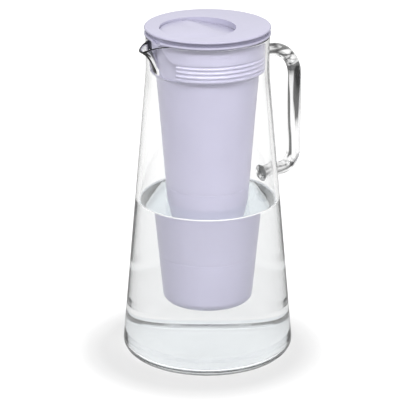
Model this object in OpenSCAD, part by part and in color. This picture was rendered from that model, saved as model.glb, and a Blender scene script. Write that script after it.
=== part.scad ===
// Water filter pitcher: a blown glass jug with a drop-in reservoir, a two-stage
// filter that hangs under it, and a lid with a rocking refill flap.
// Millimetres. +Z is up, the origin is the middle of the jug's flat base,
// +X points at the handle and -X at the spout.

/* [Jug] */
// Height of the glass rim above the table
jug_h = 264; // [240:1:290]
// Radius that the sloping wall would have at the table
base_r = 69.6; // [64:0.1:76]
// Outer radius of the straight neck
neck_r = 48.5; // [46:0.1:52]
// Height of the straight neck
neck_h = 30; // [26:0.5:36]
// Thickness of the glass wall
glass_t = 3; // [2:0.1:4]
// Thickness of the glass floor
floor_t = 10; // [6:0.5:14]
// Outer rounding between floor and wall
foot_round = 8; // [5:0.5:11]
// Inner rounding between floor and wall
inner_round = 6; // [3:0.5:9]

/* [Spout] */
// Distance of the pouring tip from the jug's axis
spout_reach = 65; // [62:0.5:68]
// Half width of the spout where it leaves the rim
spout_half = 15.5; // [14:0.5:18]
// Fall of the lip from the rim to the pouring tip
lip_fall = 4; // [2.5:0.1:5]
// Depth of the spout below the rim
spout_depth = 26; // [20:0.5:30]
// Rounding radius of the pouring tip
spout_tip_r = 6; // [5:0.5:7]
// Thickness of the glass in the spout
spout_t = 2.4; // [1.8:0.1:3]

/* [Handle] */
// Distance of the grip's centre line from the jug's axis
grip_x = 87; // [82:0.5:96]
// Radial thickness of the glass rod
rod_t = 10.4; // [8:0.2:12]
// Width of the glass rod
rod_w = 12; // [10:0.5:15]
// Height of the upper arm below the rim
arm_drop = 23.5; // [20:0.5:27]
// Height between the upper arm and the foot
handle_h = 102.5; // [90:0.5:115]
// Bend radius at the top, on the centre line
top_bend = 25; // [18:0.5:28]
// Bend radius at the foot, on the centre line
foot_bend = 14; // [10:0.5:18]
// Depth that the welded ends sink into the wall
weld = 0.5; // [0.2:0.1:1]

/* [Reservoir] */
// Overhang of the flange past the glass neck
flange_over = 1; // [0.5:0.1:2]
// Thickness of the flange on the rim
flange_t = 2; // [1.6:0.1:3]
// Gap between the collar and the glass neck
collar_gap = 0.5; // [0.4:0.05:0.8]
// Wall thickness of the moulded shells
shell_t = 2; // [1.6:0.1:2.4]
// Depth of the pour channel between the tapered shell and the neck
pour_gap = 5; // [4.5:0.1:6]
// Height of the collar from the rim to the tapered shell
collar_h = 30; // [28:0.5:34]
// Height from the rim to the reservoir's lower edge
reservoir_h = 122.5; // [110:0.5:136]
// Radius that the tapered shell loses in each millimetre of height
taper = 0.077; // [0.06:0.001:0.09]
// Half width of the pour recess
recess_half = 16.8; // [14:0.2:18]
// Height of the recess's upright sides, above the ribbed seal's foot
recess_side = 13.8; // [11:0.2:15]
// Gap between the peak of the recess and the flange
recess_top = 3.5; // [3:0.1:5]
// Half width of the V key that the flange drops into the spout
key_half = 6.2; // [5:0.1:8]
// Depth of the V key
key_drop = 2.8; // [2:0.1:3]

/* [Seals] */
// Gap between the seal's ribs and the glass
rib_gap = 0.3; // [0.2:0.05:0.35]
// Height of the ribbed seal
seal_h = 11.3; // [10:0.1:13]
// Depth of the seat under the ribbed seal
seal_seat = 1.4; // [1:0.1:1.6]
// Section radius of the small O-ring on the spigot
spigot_ring = 0.9; // [0.7:0.05:1]
// Section radius of the large O-ring on the carbon cup
cup_ring = 0.8; // [0.6:0.05:0.9]

/* [Filter] */
// Height of the membrane housing
membrane_h = 59.5; // [50:0.5:62]
// Height of the carbon cup
carbon_h = 40; // [37:0.5:46]
// Rounding of the cup's lower edge
cup_round = 8; // [5:0.5:10]
// Height of a bayonet joint
bayonet_h = 8; // [7.5:0.1:9.5]
// Turn that frees a bayonet joint, in degrees
bayonet_turn = 45; // [40:1:50]
// Radius of the spigot that carries water into the membrane
spigot_r = 9; // [8:0.1:10]
// Radius of one hollow fibre
fibre_r = 1; // [0.7:0.05:1.1]
// Fibre loops in each of the two rings
fibre_count = 16; // [10:1:18]
// Thickness of the resin that holds the fibre ends
potting_t = 7; // [5:0.5:9]
// Depth of the ion exchange beads
bead_h = 12; // [8:0.5:16]
// Thickness of a felt pad
felt_t = 1.5; // [1:0.1:2]

/* [Lid] */
// Thickness of the lid's top plate
lid_t = 1.8; // [1.6:0.1:2.2]
// Gap under the lid's edge
lid_gap = 3; // [2:0.1:4]
// Inset of the step ring from the lid's edge
step_inset = 3; // [2:0.1:3.6]
// Depth that the plug ring reaches below the flange top
plug_h = 8; // [7:0.5:12]
// Gap between the gasket and the reservoir's mouth
gasket_gap = 0.3; // [0.2:0.05:0.4]

/* [Flap] */
// Thickness left between the refill opening and the gasket's seat
mouth_rim = 1.4; // [1:0.1:3]
// Distance of the opening's centre from the hinge, towards the spout
mouth_shift = 9.5; // [8:0.1:10]
// Gap around the flap
flap_gap = 0.6; // [0.4:0.05:0.9]
// Thickness of the flap's plate
flap_t = 2.6; // [2:0.1:3]
// Fall of the thumb scoop from the hinge to its end
scoop_fall = 3.2; // [2.5:0.1:4]
// Radius of the hinge pin
pin_r = 1; // [0.8:0.05:1.1]
// Running clearance around the hinge pin
pin_gap = 0.05; // [0.03:0.01:0.08]
// Depth of the hinge axis below the flap's top
hinge_drop = 2; // [1.9:0.1:2.2]

/* [Hidden] */
$fn = 96;
eps = 0.01;
far = 200;
lavender = [0.79, 0.78, 0.88];
clear = [0.86, 0.93, 0.94, 0.35];

// jug
rim_z = jug_h;
neck_z = rim_z - neck_h;
slope = (base_r - neck_r) / neck_z;
lean = atan(slope);
mouth_in = neck_r - glass_t;
inner_base_r = base_r - glass_t / cos(lean);
inner_neck_z = (inner_base_r - mouth_in) / slope;
neck_blend = 5;
rim_round = 0.7;
bow = neck_blend / tan(lean / 2);

// spout levels
lip_z = rim_z - lip_fall;
flare_z = rim_z - 10;
flare_reach = spout_reach - 8;

// levels of the drop-in insert
seat_gap = 0.02;
flange_r = neck_r + flange_over;
flange_foot = rim_z + seat_gap;
flange_z = rim_z + flange_t;
flange_edge = flange_t / 2 - 0.1;
collar_r = mouth_in - collar_gap;
shell_top_r = mouth_in - pour_gap;
shell_z = rim_z - collar_h;
seam_z = rim_z - reservoir_h;
seam_gap = 0.3;
cup_z = seam_z - membrane_h;
bottom_z = cup_z - carbon_h;

// ribbed seal and pour recess
seal_drop = 5;
rib_depth = 0.8;
step_h = 1.2;
step_out = 0.8;
step_lap = 0.1;
seal_z = shell_z + seal_drop;
seal_top = seal_z + seal_h;
seat_r = collar_r - seal_seat;
rib_r = mouth_in - rib_gap;
rib_root_r = rib_r - rib_depth;
recess_z = shell_z + step_h;
recess_eave = recess_z + recess_side;
recess_peak = rim_z - recess_top;
recess_r = shell_top_r + 0.3;
recess_wall_z = shell_z + 2.6;
wall_sink = 0.05;

// reservoir floor and filter joints
skirt_t = 3.1;
plate_t = 4;
bore_gap = 0.3;
boss_h = 4;
boss_t = 2.7;
skirt_r = shell_r(seam_z) - skirt_t;
floor_top = seam_z + bayonet_h + plate_t;
socket_r = spigot_r + bore_gap;
housing_skirt_r = shell_r(cup_z) - skirt_t;
coupling_gap = 0.2;
lug_count = 3;
lug_arc = 20;
lug_h = 2.6;
lug_reach = 1.2;
lug_lift = 2.4;
lug_play = 0.25;
lug_play_arc = 2;
coupling_t = 3.2;
cap_ring_r = skirt_r - coupling_gap;
cup_ring_r = housing_skirt_r - coupling_gap;
ring_squeeze = 0.05;
web_t = 2;
chamber_z = cup_z + bayonet_h + web_t;
cap_depth = 6;
cap_foot = seam_z - cap_depth;
cap_plate = 2;
spigot_t = 3;
spigot_bore = spigot_r - spigot_t;
spigot_top = floor_top + boss_h - 1;
spigot_groove_z = floor_top + 0.6;

// membrane
cage_inset = 1;
cage_t = 1.2;
cage_windows = 10;
window_w = 8;
head_room = 10;
cage_r = housing_skirt_r - cage_inset;
cage_h = membrane_h - bayonet_h - web_t - head_room;
potting_r = cage_r - cage_t - 0.05;
fibre_outer = potting_r - 2 * fibre_r - 1;
fibre_span = 6;
loop_room = 3;
fibre_top = chamber_z + cage_h - fibre_span - 2 * fibre_r - loop_room;

// carbon cartridge
case_t = 1.2;
case_floor = 1.5;
case_rise = 6;
foot_ring_r = 16;
foot_ring_t = 2;
foot_ring_h = 2;
outlet_slots = 10;
outlet_r = 5;
outlet_len = 7;
outlet_w = 1.6;
drain_pitch = 5.2;
drain_r = 1.1;
case_r = cup_ring_r - coupling_t - bore_gap;
case_z = bottom_z + shell_t + foot_ring_h;
case_top = cup_z + case_rise;
bed_r = case_r - case_t - 0.1;
bead_z = case_z + case_floor + felt_t;
middle_z = bead_z + bead_h;
bed_z = middle_z + felt_t;
lid_plate = 2.5;
upper_z = case_top - lid_plate - felt_t;

// lid and flap
lid_z = flange_z + lid_gap;
lid_top = lid_z + lid_t;
lid_edge = lid_t / 2 - 0.1;
mouth_wall = 2;
ring_t = 2;
plug_gap = 1.4;
gasket_h = 1.8;
gasket_seat = 0.8;
gasket_drop = 0.4;
lid_mouth_r = collar_r - shell_t;
step_r = flange_r - step_inset;
plug_r = lid_mouth_r - plug_gap;
plug_z = flange_z - plug_h;
gasket_z = rim_z - gasket_drop;
gasket_r = lid_mouth_r - gasket_gap;
mouth_r = plug_r - gasket_seat - mouth_rim - mouth_shift;
flap_sink = 1.8;
barrel_t = 0.9;
flap_r = mouth_r - flap_gap;
flap_top = lid_top - flap_sink;
flap_bottom = flap_top - flap_t;
hinge_z = flap_top - hinge_drop;
barrel_r = pin_r + barrel_t;
mouth_chord = sqrt(mouth_r * mouth_r - mouth_shift * mouth_shift);
pin_half = mouth_chord + mouth_wall;
barrel_end = mouth_chord - 1.6;
barrel_len = 6;
relief_x = 4.5;
relief_y = mouth_chord - 1.15;
ledge_w = 2;
ledge_t = 2;
ledge_x = 8;
plug_cut_x = 30;

// Outer radius of the tapered shell at a height
function shell_r(z) = shell_top_r - taper * (shell_z - z);
// Points along an arc
function arc(c, r, a0, a1, n) =
    [for (i = [0:n]) c + r * [cos(a0 + (a1 - a0) * i / n), sin(a0 + (a1 - a0) * i / n)]];
// Radius at which a rounding of radius r, resting on height z, meets a leaning wall
function corner_r(wall_r0, r, z) = wall_r0 - slope * (z + r) - r / cos(lean);
// Outline from the axis, over a rounded foot and a leaning wall, to the neck
function jug_side(wall_r0, r, z, top_r, top_z) = concat(
    [[0, z]],
    arc([corner_r(wall_r0, r, z), z + r], r, -90, lean, 10),
    arc([top_r + bow, top_z + neck_blend], bow, 180 + lean, 180, 4));

module jug_outside() {
    rotate_extrude()
        polygon(concat(
            jug_side(base_r, foot_round, 0, neck_r, neck_z),
            arc([neck_r - rim_round, rim_z - rim_round], rim_round, 0, 90, 4),
            arc([mouth_in + rim_round, rim_z - rim_round], rim_round, 90, 180, 4),
            [[mouth_in - 1, rim_z - rim_round], [mouth_in - 1, rim_z - 5], [0, rim_z - 5]]));
}

module jug_inside() {
    rotate_extrude()
        polygon(concat(
            jug_side(inner_base_r, inner_round, floor_t, mouth_in, inner_neck_z),
            [[mouth_in, rim_z + 1], [0, rim_z + 1]]));
}

// Flat outline of the spout at one level, from the neck out to the tip
module spout_level(reach, half, tip, z) {
    translate([0, 0, z]) {
        translate([tip - reach, 0, 0])
            cylinder(r = tip, h = eps, $fn = 32);
        for (side = [-1, 1])
            translate([3 - neck_r, side * (half - 1), 0])
                cylinder(r = 1, h = eps, $fn = 16);
    }
}

// A pouring bowl that rises from its foot and flares at the lip
module spout_bowl(shrink, top) {
    foot_z = rim_z - spout_depth + 1.6 * shrink;
    mid_half = (spout_half - shrink) * (flare_z - foot_z) / (rim_z - foot_z);
    top_reach = flare_reach + (spout_reach - flare_reach) * (rim_z - flare_z) / (lip_z - flare_z);
    hull() {
        translate([3 - neck_r, 0, foot_z])
            cylinder(r = 2.5, h = eps, $fn = 24);
        spout_level(flare_reach - shrink, mid_half, spout_tip_r - shrink, flare_z);
    }
    hull() {
        spout_level(flare_reach - shrink, mid_half, spout_tip_r - shrink, flare_z);
        spout_level(top_reach - shrink, spout_half - shrink, spout_tip_r + 1 - shrink, top);
    }
}

// Everything above the lip, which falls from the rim to the pouring tip
module above_lip() {
    translate([-neck_r, 0, rim_z])
        rotate([0, -atan(lip_fall / (spout_reach - neck_r)), 0])
            translate([-far, -far / 2, 0])
                cube([far, far, far / 2]);
}

module jug_body() {
    color(clear)
        difference() {
            union() {
                jug_outside();
                difference() {
                    spout_bowl(0, rim_z);
                    above_lip();
                }
            }
            jug_inside();
            spout_bowl(spout_t, rim_z);
            translate([3 - neck_r, 1 - spout_half + spout_t, rim_z - 1])
                mirror([1, 0, 0])
                    cube([4, 2 * (spout_half - spout_t - 1), 2]);
        }
}

// Rounded section of the glass rod, thickness along X and width along Y
module rod_section() {
    polygon([for (i = [0:23]) [rod_t / 2 * cos(15 * i), rod_w / 2 * sin(15 * i)]]);
}

// Straight stretch of rod along +Z
module rod_straight(length) {
    linear_extrude(length)
        rod_section();
}

// Bend of rod in the XZ plane about the origin, from +X round to +Z
module rod_bend(radius, a0, a1) {
    rotate([90, 0, 0])
        rotate([0, 0, a0])
            rotate_extrude(angle = a1 - a0)
                translate([radius, 0])
                    rod_section();
}

module jug_handle() {
    arm_z = rim_z - arm_drop;
    foot_z = arm_z - handle_h;
    color(clear)
        difference() {
            union() {
                translate([neck_r - 2, 0, arm_z])
                    rotate([0, 90, 0])
                        rod_straight(grip_x - top_bend - neck_r + 2);
                translate([grip_x - top_bend, 0, arm_z - top_bend])
                    rod_bend(top_bend, 0, 90);
                translate([grip_x, 0, foot_z + foot_bend])
                    rod_straight(handle_h - top_bend - foot_bend);
                translate([grip_x - foot_bend, 0, foot_z + foot_bend])
                    rod_bend(foot_bend, -90, 0);
                translate([base_r - slope * foot_z - 3, 0, foot_z])
                    rotate([0, 90, 0])
                        rod_straight(grip_x - foot_bend - base_r + slope * foot_z + 3);
            }
            rotate_extrude()
                polygon(concat(
                    jug_side(base_r - weld, foot_round, 0, neck_r - weld, neck_z),
                    [[neck_r - weld, rim_z], [0, rim_z]]));
        }
}

// Front outline of the pour recess, grown by a wall, from a lowest level up
module recess_front(grow, low, out_r, in_r) {
    roof = atan((recess_peak - recess_eave) / recess_half);
    peak = recess_peak + grow / cos(roof);
    half = recess_half + grow;
    eave = peak - half * tan(roof);
    intersection() {
        translate([-in_r / 2, 0, 0])
            rotate([90, 0, -90])
                linear_extrude(out_r)
                    polygon([[-half, 0], [half, 0], [half, eave], [0, peak], [-half, eave]]);
        translate([0, 0, low])
            difference() {
                cylinder(r = out_r, h = far);
                translate([0, 0, -1])
                    cylinder(r = in_r, h = far + 2);
            }
    }
}

// Three short slots that let the bayonet lugs in, and the groove that they turn in
module bayonet_slots(r, z) {
    groove = r + lug_reach + coupling_gap;
    translate([0, 0, z + lug_lift - lug_play])
        cylinder(r = groove, h = lug_h + 2 * lug_play);
    for (i = [0:lug_count - 1])
        rotate([0, 0, i * 360 / lug_count + bayonet_turn - lug_arc / 2 - lug_play_arc])
            rotate_extrude(angle = lug_arc + 2 * lug_play_arc)
                translate([r - 1, z - 1])
                    square([groove - r + 1, lug_lift + lug_h]);
}

module bayonet_lugs(r, z) {
    for (i = [0:lug_count - 1])
        rotate([0, 0, i * 360 / lug_count - lug_arc / 2])
            rotate_extrude(angle = lug_arc)
                translate([r - 0.5, z + lug_lift])
                    square([lug_reach + 0.5, lug_h]);
}

// Wedge towards the spout, V-shaped from below, its upper face at height z
module key_wedge(z, in_r, out_r) {
    deep = key_drop + 0.5;
    wide = key_half * deep / key_drop;
    translate([-in_r, 0, z])
        rotate([90, 0, -90])
            linear_extrude(out_r - in_r)
                polygon([[-wide, 0], [0, -deep], [wide, 0]]);
}

module reservoir() {
    neck_in = seat_r - shell_t;
    color(lavender)
        difference() {
            union() {
                rotate_extrude()
                    polygon(concat(
                        [[shell_r(seam_z), seam_z], [shell_top_r, shell_z],
                         [shell_top_r + step_out, shell_z + step_h + step_lap],
                         [seat_r, shell_z + 2.5],
                         [collar_r - 0.2, shell_z + 3.2], [collar_r, seal_z - 0.8],
                         [collar_r, seal_z], [seat_r, seal_z],
                         [seat_r, seal_top], [collar_r, seal_top],
                         [collar_r, flange_foot]],
                        arc([flange_r - flange_edge, flange_foot + flange_edge],
                            flange_edge, -90, 0, 4),
                        arc([flange_r - flange_edge, flange_z - flange_edge],
                            flange_edge, 0, 90, 4),
                        [[lid_mouth_r, flange_z], [lid_mouth_r, seal_top + 1],
                         [neck_in, seal_top - 1], [neck_in, shell_z + 4],
                         [recess_r - shell_t, shell_z + 2.5],
                         [shell_r(shell_z - 4) - shell_t, shell_z - 4],
                         [shell_r(floor_top) - shell_t, floor_top],
                         [socket_r + boss_t, floor_top],
                         [socket_r + boss_t, floor_top + boss_h],
                         [socket_r, floor_top + boss_h], [socket_r, floor_top - shell_t],
                         [skirt_r, floor_top - shell_t], [skirt_r, seam_z]]));
                recess_front(shell_t, recess_wall_z, seat_r - wall_sink, recess_r - shell_t);
                recess_front(shell_t, seal_top + wall_sink, collar_r - wall_sink,
                             recess_r - shell_t);
                key_wedge(flange_foot + 0.5, collar_r - 1, flange_r - 0.6);
            }
            recess_front(0, recess_z, far, recess_r);
            bayonet_slots(skirt_r, seam_z);
            key_wedge(flange_z + 0.5, step_r + 0.3, flange_r + 1);
        }
}

// Soft ribbed band in the collar's seat, open where the water pours
module collar_seal() {
    rib_pitch = (seal_h - 1.2) / 3;
    color(lavender)
        difference() {
            rotate_extrude()
                polygon(concat(
                    [[seat_r, seal_z], [rib_root_r, seal_z]],
                    [for (i = [0:2], p = [[0, 0.7], [1, 1.5], [1, 2.1], [0, 2.9]])
                        [p[0] == 1 ? rib_r : rib_root_r, seal_z + 0.4 + i * rib_pitch + p[1]]],
                    [[rib_root_r, seal_top], [seat_r, seal_top]]));
            recess_front(0.3, recess_z, far, recess_r);
        }
}

// Strainer cap over the filter inlet on the reservoir floor
module inlet_screen() {
    cap_r = socket_r + boss_t + 1.3;
    top = floor_top + boss_h + 0.2;
    hole_pitch = 2.8;
    hole_r = 0.7;
    color("silver")
        difference() {
            translate([0, 0, floor_top])
                cylinder(r = cap_r, h = top + 1 - floor_top);
            translate([0, 0, floor_top - 1])
                cylinder(r = socket_r + boss_t + 0.1, h = top - floor_top + 1);
            for (ring = [0:3], i = [0:max(1, 6 * ring) - 1])
                rotate([0, 0, i * 60 / max(1, ring)])
                    translate([ring * hole_pitch, 0, top - 1])
                        cylinder(r = hole_r, h = 3, $fn = 24);
        }
}

module membrane_cap() {
    plate_z = seam_z + bayonet_h;
    groove_r = socket_r - ring_squeeze - 2 * spigot_ring - 0.05;
    color(lavender) {
        rotate_extrude()
            polygon([[cap_ring_r - coupling_t, cap_foot], [cap_ring_r, cap_foot],
                     [cap_ring_r, plate_z], [spigot_r, plate_z],
                     [spigot_r, spigot_groove_z], [groove_r, spigot_groove_z],
                     [groove_r, spigot_groove_z + 2 * spigot_ring + 0.2],
                     [spigot_r, spigot_groove_z + 2 * spigot_ring + 0.2],
                     [spigot_r, spigot_top], [spigot_bore, spigot_top],
                     [spigot_bore, plate_z - cap_plate],
                     [cap_ring_r - coupling_t, plate_z - cap_plate]]);
        bayonet_lugs(cap_ring_r, seam_z);
    }
}

module spigot_o_ring() {
    color("dimgray")
        translate([0, 0, spigot_groove_z + spigot_ring + 0.1])
            rotate_extrude()
                translate([socket_r - ring_squeeze - spigot_ring, 0])
                    circle(r = spigot_ring);
}

// Tapered shell of the first stage, with the socket for the carbon cup below
module membrane_housing() {
    top = seam_z - seam_gap;
    lip_r = cap_ring_r + 0.05;
    color(lavender)
        difference() {
            rotate_extrude()
                polygon([[shell_r(cup_z), cup_z], [shell_r(top), top], [lip_r, top],
                         [lip_r, cap_foot], [shell_r(cap_foot) - shell_t, cap_foot - 1.2],
                         [shell_r(chamber_z) - shell_t, chamber_z],
                         [cage_r - 4, chamber_z], [cage_r - 4, chamber_z - web_t],
                         [housing_skirt_r, chamber_z - web_t], [housing_skirt_r, cup_z]]);
            bayonet_slots(housing_skirt_r, cup_z);
        }
}

module fibre_cage() {
    color("white")
        difference() {
            translate([0, 0, chamber_z])
                cylinder(r = cage_r, h = cage_h);
            translate([0, 0, chamber_z - 1])
                cylinder(r = cage_r - cage_t, h = cage_h + 2);
            for (i = [0:cage_windows - 1])
                rotate([0, 0, i * 360 / cage_windows])
                    translate([cage_r - 3, -window_w / 2, chamber_z + potting_t + 2])
                        cube([6, window_w, cage_h - potting_t - 5]);
        }
}

// Places one fibre loop: its two legs stand at radii outer and outer - 2 * bend
module each_loop() {
    for (i = [0:fibre_count - 1])
        rotate([0, 0, i * 360 / fibre_count])
            translate([fibre_outer - fibre_span, 0, 0]) {
                $bend = fibre_span;
                children();
            }
    for (i = [0:fibre_count - 1])
        rotate([0, 0, (i + 0.5) * 360 / fibre_count])
            translate([fibre_outer - fibre_span, 0, 0]) {
                $bend = fibre_span / 2;
                children();
            }
}

module potting_disc() {
    color("beige")
        difference() {
            translate([0, 0, chamber_z])
                cylinder(r = potting_r, h = potting_t);
            each_loop()
                for (side = [-1, 1])
                    translate([side * $bend, 0, chamber_z - 1])
                        cylinder(r = fibre_r + 0.03, h = potting_t + 2, $fn = 24);
        }
}

module membrane_fibres() {
    color("whitesmoke")
        each_loop() {
            for (side = [-1, 1])
                translate([side * $bend, 0, chamber_z])
                    cylinder(r = fibre_r, h = fibre_top - chamber_z, $fn = 24);
            translate([0, 0, fibre_top])
                rotate([90, 0, 0])
                    rotate_extrude(angle = 180, $fn = 48)
                        translate([$bend, 0])
                            circle(r = fibre_r, $fn = 24);
        }
}

// Rounded cup that hangs under the membrane housing and lets the clean water out
module carbon_cup() {
    top = cup_z - seam_gap;
    ring_top = cup_z + bayonet_h - 0.3;
    groove_r = housing_skirt_r - ring_squeeze - 2 * cup_ring - 0.05;
    groove_z = ring_top - 2 * cup_ring - 0.8;
    inner = cup_round - shell_t;
    foot_r = shell_r(bottom_z + cup_round) - cup_round;
    hole_r = cup_ring_r - coupling_t;
    ring_in = foot_ring_r - foot_ring_t;
    color(lavender) {
        difference() {
            rotate_extrude()
                polygon(concat(
                    [[0, bottom_z]],
                    arc([foot_r, bottom_z + cup_round], cup_round, -90, 0, 8),
                    [[shell_r(top), top], [cup_ring_r, top], [cup_ring_r, groove_z],
                     [groove_r, groove_z], [groove_r, groove_z + 2 * cup_ring + 0.2],
                     [cup_ring_r, groove_z + 2 * cup_ring + 0.2], [cup_ring_r, ring_top],
                     [hole_r, ring_top], [hole_r, top - shell_t],
                     [shell_r(top) - shell_t, top - shell_t]],
                    arc([foot_r, bottom_z + cup_round], inner, 0, -90, 6),
                    [[foot_ring_r, bottom_z + shell_t], [foot_ring_r, case_z],
                     [ring_in, case_z], [ring_in, bottom_z + shell_t],
                     [0, bottom_z + shell_t]]));
            for (i = [0:outlet_slots - 1])
                rotate([0, 0, i * 360 / outlet_slots])
                    translate([outlet_r, -outlet_w / 2, bottom_z - 1])
                        cube([outlet_len, outlet_w, shell_t + 2]);
        }
        bayonet_lugs(cup_ring_r, cup_z);
    }
}

module cup_o_ring() {
    groove_z = cup_z + bayonet_h - 0.3 - 2 * cup_ring - 0.8;
    color("dimgray")
        translate([0, 0, groove_z + cup_ring + 0.1])
            rotate_extrude()
                translate([housing_skirt_r - ring_squeeze - cup_ring, 0])
                    circle(r = cup_ring);
}

// Rings of drain holes through a plate that starts at height z
module drain_holes(z, t) {
    for (ring = [1:3], i = [0:6 * ring - 1])
        rotate([0, 0, i * 60 / ring])
            translate([ring * drain_pitch, 0, z - 1])
                cylinder(r = drain_r, h = t + 2, $fn = 24);
}

module cartridge_case() {
    color("white")
        difference() {
            translate([0, 0, case_z])
                cylinder(r = case_r, h = case_top - case_z);
            translate([0, 0, case_z + case_floor])
                cylinder(r = case_r - case_t, h = case_top);
            drain_holes(case_z, case_floor);
        }
}

// One filling of the cartridge, from one height to another
module filling(low, high) {
    translate([0, 0, low])
        cylinder(r = bed_r, h = high - low);
}

module lower_felt() {
    color("linen") filling(case_z + case_floor, bead_z);
}

module ion_beads() {
    color("goldenrod") filling(bead_z, middle_z);
}

module middle_felt() {
    color("linen") filling(middle_z, bed_z);
}

module carbon_bed() {
    color([0.12, 0.12, 0.13]) filling(bed_z, upper_z);
}

module upper_felt() {
    color("linen") filling(upper_z, upper_z + felt_t);
}

module cartridge_lid() {
    color("white")
        difference() {
            translate([0, 0, upper_z + felt_t])
                cylinder(r = bed_r, h = lid_plate);
            drain_holes(upper_z + felt_t, lid_plate);
        }
}

// Round piece centred on the refill opening
module at_mouth(z) {
    translate([-mouth_shift, 0, z])
        children();
}

// Round piece along the flap's hinge
module along_hinge(r, low, high) {
    translate([0, high, hinge_z])
        rotate([90, 0, 0])
            cylinder(r = r, h = high - low);
}

module lid_cover() {
    wall_z = hinge_z - pin_r - 2;
    cut_half = recess_half + shell_t + 2;
    color(lavender) {
        difference() {
            union() {
                rotate_extrude()
                    polygon(concat(
                        [[0, lid_z]],
                        arc([flange_r - lid_edge, lid_z + lid_edge], lid_edge, -90, 0, 4),
                        arc([flange_r - lid_edge, lid_top - lid_edge], lid_edge, 0, 90, 4),
                        [[0, lid_top]]));
                rotate_extrude()
                    translate([step_r - ring_t, flange_z])
                        square([ring_t, lid_gap + 0.5]);
                rotate_extrude()
                    translate([plug_r - ring_t, plug_z])
                        square([ring_t, lid_z - plug_z + 0.5]);
                at_mouth(wall_z)
                    cylinder(r = mouth_r + mouth_wall, h = lid_z - wall_z + 0.5);
            }
            at_mouth(wall_z - 1)
                cylinder(r = mouth_r, h = lid_top - wall_z + 2);
            along_hinge(pin_r, -pin_half - 3, pin_half + 3);
            rotate_extrude()
                translate([plug_r - gasket_seat, gasket_z])
                    square([gasket_seat + 2, gasket_h]);
            translate([-far / 2, -cut_half, plug_z - 1])
                cube([far / 2 - plug_cut_x, 2 * cut_half, rim_z - 0.6 - plug_z + 1]);
        }
        intersection() {
            difference() {
                at_mouth(flap_bottom - ledge_t)
                    cylinder(r = mouth_r + 0.5, h = ledge_t);
                at_mouth(flap_bottom - ledge_t - 1)
                    cylinder(r = mouth_r - ledge_w, h = ledge_t + 2);
            }
            translate([-far - ledge_x, -far / 2, 0])
                cube([far, far, far * 2]);
        }
    }
}

module lid_gasket() {
    low = gasket_z + 0.05;
    high = gasket_z + gasket_h - 0.05;
    middle = gasket_z + gasket_h / 2;
    root = plug_r - gasket_seat + 0.05;
    color("gainsboro")
        rotate_extrude()
            polygon([[root, low], [plug_r, low], [gasket_r, middle - 0.2],
                     [gasket_r, middle + 0.2], [plug_r, high], [root, high]]);
}

module hinge_pin() {
    color("silver") along_hinge(pin_r, -pin_half, pin_half);
}

// Rocking flap: a flat half over the opening and a thumb scoop past the hinge
module flap() {
    back = mouth_shift + flap_r + 1;
    front = flap_r - mouth_shift + 1;
    color(lavender)
        difference() {
            union() {
                difference() {
                    intersection() {
                        translate([0, far / 2, 0])
                            rotate([90, 0, 0])
                                linear_extrude(far)
                                    polygon([[-back, flap_bottom], [-back, flap_top],
                                             [0, flap_top], [front, flap_top - scoop_fall],
                                             [front, flap_bottom - scoop_fall],
                                             [0, flap_bottom]]);
                        at_mouth(0)
                            cylinder(r = flap_r, h = far * 2);
                    }
                    for (side = [-1, 1])
                        translate([-relief_x, side > 0 ? relief_y : -relief_y - 5, 0])
                            cube([2 * relief_x, 5, far * 2]);
                }
                for (side = [-1, 1])
                    along_hinge(barrel_r, side * (barrel_end - barrel_len / 2) - barrel_len / 2,
                                side * (barrel_end - barrel_len / 2) + barrel_len / 2);
            }
            along_hinge(pin_r + pin_gap, -far / 2, far / 2);
        }
}

jug_body();
jug_handle();
reservoir();
collar_seal();
inlet_screen();
membrane_cap();
spigot_o_ring();
membrane_housing();
fibre_cage();
potting_disc();
membrane_fibres();
carbon_cup();
cup_o_ring();
cartridge_case();
lower_felt();
ion_beads();
middle_felt();
carbon_bed();
upper_felt();
cartridge_lid();
lid_cover();
lid_gasket();
hinge_pin();
flap();
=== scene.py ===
"""Water filter pitcher: glass jug, drop-in lavender filter insert and rocking refill flap."""
import math

import bmesh
import bpy
from mathutils import Matrix, Vector


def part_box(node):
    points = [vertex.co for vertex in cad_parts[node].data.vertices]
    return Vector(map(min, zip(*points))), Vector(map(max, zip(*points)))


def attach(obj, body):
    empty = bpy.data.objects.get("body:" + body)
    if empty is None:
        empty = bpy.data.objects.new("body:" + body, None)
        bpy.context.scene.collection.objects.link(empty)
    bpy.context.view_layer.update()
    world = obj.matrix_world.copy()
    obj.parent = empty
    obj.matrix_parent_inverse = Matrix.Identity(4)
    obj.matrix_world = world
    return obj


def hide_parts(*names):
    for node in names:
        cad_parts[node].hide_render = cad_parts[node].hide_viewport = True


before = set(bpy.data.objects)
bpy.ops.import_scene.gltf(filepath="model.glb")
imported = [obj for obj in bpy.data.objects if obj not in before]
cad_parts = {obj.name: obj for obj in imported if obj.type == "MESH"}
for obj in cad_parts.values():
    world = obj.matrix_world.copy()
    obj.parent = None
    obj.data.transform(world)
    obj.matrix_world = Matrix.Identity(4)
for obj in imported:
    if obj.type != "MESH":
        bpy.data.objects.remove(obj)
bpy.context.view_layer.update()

# ---------------------------------------------------------------- sizes, in metres
MM = 0.001
NEAR = 1e-6                       # points closer than this are the same
SIDES = 192                       # facets round a turned piece

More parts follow.
